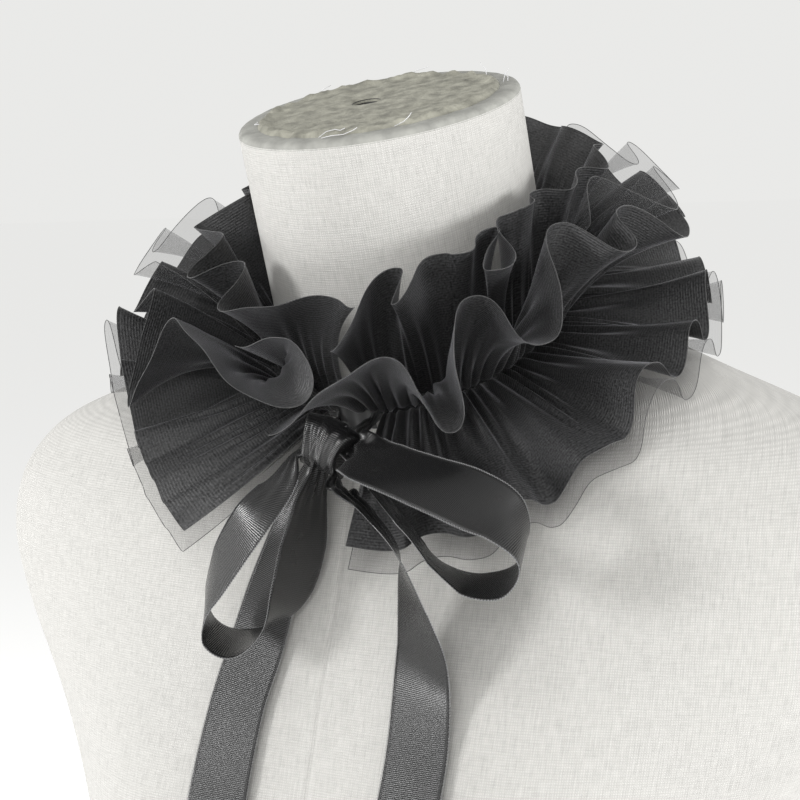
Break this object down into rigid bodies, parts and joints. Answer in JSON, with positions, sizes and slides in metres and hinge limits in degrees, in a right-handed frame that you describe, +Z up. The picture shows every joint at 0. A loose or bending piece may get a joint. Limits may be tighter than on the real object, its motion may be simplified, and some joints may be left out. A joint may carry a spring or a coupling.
{
  "type": "ruffled false collar on dress form",
  "caption": "Gathered two-way chiffon ruffle sewn to a satin ribbon that ties in a bow at the throat, worn by a limbless linen dress form.",
  "frame": {"origin": "centre of the form's flat base, on the surface it stands on", "axes": "+Z up, the form faces -Y and +X is the form's left"},
  "size_m": [0.43, 0.2423, 0.5507],
  "materials": {
    "linen": "plain woven natural linen over a foam form",
    "neck_disc": "matt card disc",
    "chiffon": "fine crepe weave with a soft sheen, partly see-through",
    "sheer": "see-through voile",
    "satin": "ribbed satin ribbon with looped edges"
  },
  "bodies": {
    "root": {"form_torso": "linen", "form_neck_cap": "neck_disc", "neck_ribbon": "satin", "ruffle_upper_inner": "chiffon", "ruffle_upper_sheer": "sheer", "ruffle_upper_outer": "chiffon", "ruffle_lower_outer": "chiffon", "ruffle_lower_sheer": "sheer", "bow_knot": "satin", "bow_loop_left": "satin", "bow_loop_right": "satin", "bow_tail_left": "satin", "bow_tail_right": "satin"}
  },
  "joints": []
}
